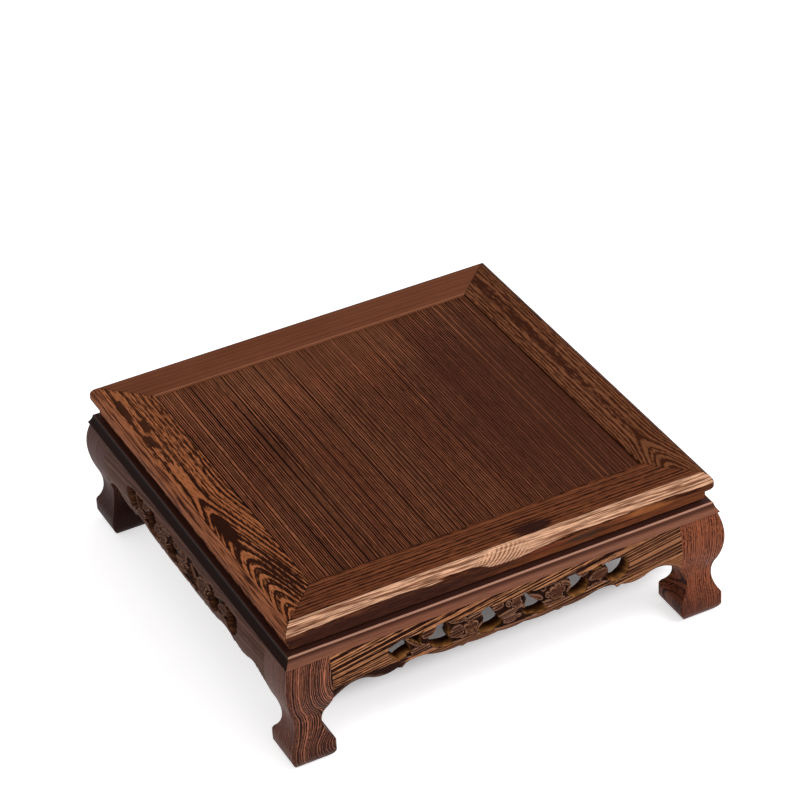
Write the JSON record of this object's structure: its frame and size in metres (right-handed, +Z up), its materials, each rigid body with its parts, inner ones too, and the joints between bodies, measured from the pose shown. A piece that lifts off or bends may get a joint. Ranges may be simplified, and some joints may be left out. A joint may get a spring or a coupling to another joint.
{
  "type": "kang table",
  "caption": "Small square low table with a framed floating panel, a recessed waist, bulging pierced aprons and short cabriole legs on flared block feet.",
  "frame": {"origin": "centre of the footprint on the floor", "axes": "+Z up, -Y towards the front apron, +X to the right seen from the front"},
  "size_m": [0.3096, 0.3096, 0.1076],
  "materials": {
    "frame_wood": "waxed, strongly figured",
    "panel_wood": "waxed, fine straight grain",
    "batten_wood": "planed, unfinished",
    "waist_wood": "waxed, dark",
    "moulding_wood": "waxed, satin",
    "apron_wood": "waxed, carved",
    "leg_wood": "waxed, satin"
  },
  "bodies": {
    "root": {"rail_front": "frame_wood", "rail_back": "frame_wood", "rail_left": "frame_wood", "rail_right": "frame_wood", "panel": "panel_wood", "batten": "batten_wood", "waist_front": "waist_wood", "waist_back": "waist_wood", "waist_left": "waist_wood", "waist_right": "waist_wood", "moulding_front": "moulding_wood", "moulding_back": "moulding_wood", "moulding_left": "moulding_wood", "moulding_right": "moulding_wood", "apron_front": "apron_wood", "apron_back": "apron_wood", "apron_left": "apron_wood", "apron_right": "apron_wood", "leg_front_left": "leg_wood", "leg_front_right": "leg_wood", "leg_back_left": "leg_wood", "leg_back_right": "leg_wood"}
  },
  "joints": []
}
